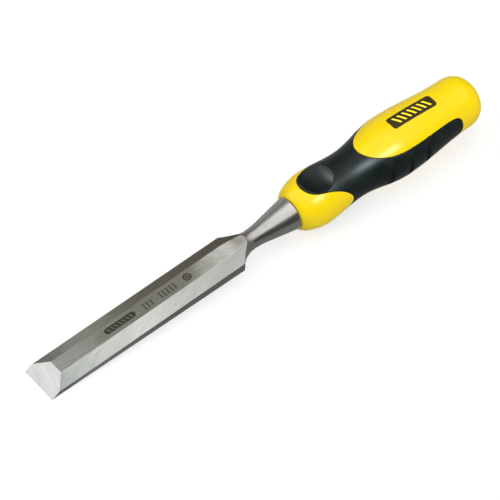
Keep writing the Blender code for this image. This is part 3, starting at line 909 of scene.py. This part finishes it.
def blade_marks(finish, spot):
    """Plain etched marks on the top flat: a panel with bars, two groups of ticks and a disc with a ring."""
    along, across, height = finish.add("SeparateXYZ", {0: spot}).outputs
    from_panel = finish.math("ABSOLUTE", finish.math("SUBTRACT", along, PANEL_X * MM))
    past_panel = finish.math("MAXIMUM", finish.math("SUBTRACT", from_panel, PANEL_STRAIGHT * MM), 0.0)
    panel = between(finish, radius_about(finish, past_panel, across), -1, PANEL_RADIUS, 0.08)
    bars = slanted_bars(finish, along, across, PANEL_X, 0.5, PANEL_BARS)
    mask = finish.math("MULTIPLY", panel, finish.math("MULTIPLY_ADD", bars, -0.6, 1.0))
    for middle, half_length, low, high, pitch in TICKS:
        tick = stripes(finish, along, middle, pitch, TICK_SHARE)
        tick = finish.math("MULTIPLY", tick, between(finish, across, low, high))
        ends = (middle - half_length, middle + half_length)
        tick = finish.math("MULTIPLY", tick, between(finish, along, *ends))
        mask = finish.math("MAXIMUM", mask, finish.math("MULTIPLY", tick, 0.8))
    from_disc = radius_about(finish, finish.math("SUBTRACT", along, DISC_X * MM), across)
    disc = between(finish, from_disc, -1, DISC_RADIUS)
    disc = finish.math("MULTIPLY_ADD", between(finish, from_disc, *DISC_RING), -0.6, disc)
    mask = finish.math("MAXIMUM", mask, finish.math("MULTIPLY", disc, 0.9))
    return finish.math("MULTIPLY", mask, finish.ramp(height, MARKS_ABOVE * MM, (MARKS_ABOVE + 0.2) * MM))


def yellow_plastic():
    """Glossy moulded plastic with a faint mould texture and slight handling wear in its shine."""
    finish = Finish("yellow_gloss")
    spot = finish.place()
    peel = finish.noise(spot, 900.0, 2.0)
    wear = finish.noise(finish.stretched(spot, (40, 90, 90)), 1.0, 5.0, 0.6)
    color = finish.blend(finish.ramp(wear, 0.35, 0.7), *YELLOW)
    rough = finish.ramp(wear, 0.3, 0.75, 0.25, 0.31)
    normal = finish.bump(peel, 0.00003, 0.6)
    return finish.set(Base_Color=color, Roughness=rough, Normal=normal, IOR=1.46, Specular_IOR_Level=0.3)


def soft_plastic():
    """Matte soft moulding with a fine spark-eroded grain, rougher in its grooves and painted darker there as
    painted shade.
    """
    finish = Finish("black_soft")
    spot = finish.place()
    along = finish.add("SeparateXYZ", {0: spot}).outputs[0]
    grain = finish.noise(spot, 3200.0, 3.0, 0.65)
    wear = finish.noise(spot, 120.0, 4.0)
    color = finish.blend(finish.ramp(wear, 0.3, 0.7), *BLACK)
    grooves = None
    for middle in GROOVES_X:
        groove = between(finish, along, middle - GROOVE_RADIUS, middle + GROOVE_RADIUS, 0.5)
        grooves = groove if grooves is None else finish.math("ADD", grooves, groove)
    # Painted shade: the grip's colour darkens over the side grooves
    color = finish.blend(grooves, color, GROOVE_PAINTED_SHADE)
    rough = finish.ramp(wear, 0.3, 0.7, 0.31, 0.40)
    rough = finish.math("ADD", rough, finish.math("MULTIPLY", grooves, 0.35))
    normal = finish.bump(grain, 0.00006, 0.7)
    return finish.set(Base_Color=color, Roughness=rough, Normal=normal, IOR=1.5, Specular_IOR_Level=0.26)


def label_print():
    """Dark film printed with slanted yellow bars."""
    finish = Finish("dark_film")
    spot = finish.place()
    along, across, _ = finish.add("SeparateXYZ", {0: spot}).outputs
    bars = slanted_bars(finish, along, across, LABEL_X, 0.55, LABEL_BARS)
    fleck = finish.noise(spot, 1500.0, 3.0)
    color = finish.blend(bars, finish.blend(finish.ramp(fleck, 0.3, 0.7), *FILM), PRINT)
    rough = finish.ramp(fleck, 0.3, 0.7, 0.36, 0.46)
    normal = finish.bump(fleck, 0.00001, 0.5)
    return finish.set(Base_Color=color, Roughness=rough, Normal=normal, IOR=1.46, Specular_IOR_Level=0.25)


# ---------------------------------------------------------------- stage


def add_stage(name, points, faces, finish):
    """Mesh of the stage, which isn't part of the object and shows in no reflection."""
    mesh = bpy.data.meshes.new(name)
    mesh.from_pydata(points, [], faces)
    mesh.materials.append(finish.material)
    item = bpy.data.objects.new(name, mesh)
    item.visible_glossy = False
    bpy.context.scene.collection.objects.link(item)
    return item


def floor():
    """Plain pale floor, with some light of its own."""
    finish = Finish("pale_floor")
    grain = finish.noise(finish.place(), 400.0, 2.0)
    color = finish.blend(finish.ramp(grain, 0.3, 0.7), *FLOOR)
    finish.set(Base_Color=color, Roughness=0.8, Emission_Color=WHITE, Emission_Strength=FLOOR_GLOW)
    signs = ((-1, -1), (1, -1), (1, 1), (-1, 1))
    corners = [(x * FLOOR_HALF, y * FLOOR_HALF, FLOOR_LEVEL) for x, y in signs]
    add_stage("floor", corners, [(0, 1, 2, 3)], finish)


def backdrop():
    """Far white dome behind the floor, seen directly but not lighting or shading anything."""
    finish = Finish("white_backdrop")
    finish.set(Base_Color=(0, 0, 0, 1), Roughness=1.0, Emission_Color=WHITE, Emission_Strength=1.0)
    turns = np.arange(DOME_COLUMNS) * 2 * math.pi / DOME_COLUMNS
    rings = []
    for rise in np.radians(np.linspace(-4, 88, 12)):
        ring = [np.cos(turns) * math.cos(rise), np.sin(turns) * math.cos(rise)]
        rings.append(np.stack(ring + [np.full(DOME_COLUMNS, math.sin(rise))], axis=1))
    points, quads = join_rings(np.array(rings) * DOME_RADIUS)
    cap = list(range(len(points) - DOME_COLUMNS, len(points)))
    item = add_stage("backdrop", points.tolist(), quads.tolist() + [cap], finish)
    item.visible_diffuse = item.visible_shadow = item.visible_transmission = False


def area_light(name, direction, distance, size, power, color=WHITE, mirrored=True, only=()):
    """Soft box facing the tool from a direction; it may light only some pieces or show in no reflection."""
    lamp = bpy.data.lights.new(name, "AREA")
    lamp.shape = "RECTANGLE"
    lamp.size, lamp.size_y = size
    lamp.energy = power
    lamp.color = color[:3]
    item = bpy.data.objects.new(name, lamp)
    toward = Vector(direction).normalized()
    item.location = toward * distance
    item.rotation_euler = toward.to_track_quat("Z", "Y").to_euler()
    item.visible_glossy = mirrored
    bpy.context.scene.collection.objects.link(item)
    if only:
        lit = bpy.data.collections.new(name + "_lights")
        for piece in only:
            lit.objects.link(piece)
        item.light_linking.receiver_collection = lit


def world():
    """Soft studio surroundings: an even base, brighter or darker about a few directions."""
    sky = bpy.data.worlds.new("studio")
    sky.use_nodes = True
    nodes, links = sky.node_tree.nodes, sky.node_tree.links
    toward = nodes.new("ShaderNodeTexCoord").outputs["Generated"]
    total = None
    for direction, inner, outer, amount in STUDIO_ZONES:
        dot = nodes.new("ShaderNodeVectorMath")
        dot.operation = "DOT_PRODUCT"
        links.new(toward, dot.inputs[0])
        dot.inputs[1].default_value = Vector(direction).normalized()
        ease = nodes.new("ShaderNodeMapRange")
        ease.interpolation_type = "SMOOTHSTEP"
        links.new(dot.outputs["Value"], ease.inputs["Value"])
        ease.inputs["From Min"].default_value = math.cos(math.radians(outer))
        ease.inputs["From Max"].default_value = math.cos(math.radians(inner))
        ease.inputs["To Min"].default_value = 0.0
        ease.inputs["To Max"].default_value = amount
        add = nodes.new("ShaderNodeMath")
        links.new(ease.outputs["Result"], add.inputs[0])
        if total is None:
            add.inputs[1].default_value = STUDIO_BASE
        else:
            links.new(total, add.inputs[1])
        total = add.outputs[0]
    lowest = nodes.new("ShaderNodeMath")
    lowest.operation = "MAXIMUM"
    links.new(total, lowest.inputs[0])
    lowest.inputs[1].default_value = 0.3 * STUDIO_BASE
    nodes["Background"].inputs["Color"].default_value = STUDIO_COLOR
    links.new(lowest.outputs[0], nodes["Background"].inputs["Strength"])
    bpy.context.scene.world = sky


def camera():
    """Camera at the set place and angle."""
    lens = bpy.data.cameras.new("camera")
    lens.lens = CAMERA_LENS
    lens.clip_start, lens.clip_end = CAMERA_CLIP
    item = bpy.data.objects.new("camera", lens)
    item.matrix_world = Matrix.Translation(CAMERA_PLACE) @ Matrix(CAMERA_AXES).to_4x4()
    bpy.context.scene.collection.objects.link(item)
    bpy.context.scene.camera = item


# ---------------------------------------------------------------- the chisel and its stage

# Scales of the grinding lines across the bevels
ACROSS_BEVEL = (3600, 300, 300)
FLAT_STEEL = steel("steel_flat", FLAT_PAINTED_REFLECTIONS, 0.30, (250, 6000, 2000), math.radians(8), 0.0000015, marks=True)
WALL_STEEL = steel("steel_wall", WALL_PAINTED_REFLECTIONS, 0.34, (250, 3000, 6000), 0.0, 0.000004)
BEVEL_STEEL = steel(
    "steel_side_bevel", RIGHT_PAINTED_REFLECTIONS, 0.32, ACROSS_BEVEL, math.radians(68), 0.000004, left_painted_reflections=LEFT_PAINTED_REFLECTIONS
)
PRIMARY_STEEL = steel("steel_primary_bevel", PRIMARY_PAINTED_REFLECTIONS, 0.32, ACROSS_BEVEL, math.radians(20), 0.000004)
TURNED_STEEL = steel("steel_turned", TURNED_PAINTED_REFLECTIONS, 0.24, (160, 3500, 3500), 0.0, 0.00001)

make_blade([FLAT_STEEL, WALL_STEEL, BEVEL_STEEL, PRIMARY_STEEL, TURNED_STEEL])
core = make_core([yellow_plastic()])
grip = make_grip([soft_plastic()])
label = make_label([label_print()])

floor()
backdrop()
world()
# Direction, distance and size in metres, and power in watts
area_light("key", (0.10, -0.70, 0.70), 1.2, (0.38, 0.28), 9.5, only=[core, label])
area_light("grip_key", (0.22, -0.62, 0.74), 1.2, (0.5, 0.3), 15.0, COOL_WHITE, only=[grip])
area_light("dish_key", (-0.42, 0.66, 0.62), 1.2, (0.5, 0.5), 7.5, COOL_WHITE, only=[grip])
area_light("fill", (0.0, -0.1, 1.0), 1.5, (1.6, 1.6), 8.4, mirrored=False)
camera()
bpy.context.scene.view_settings.view_transform = "Standard"
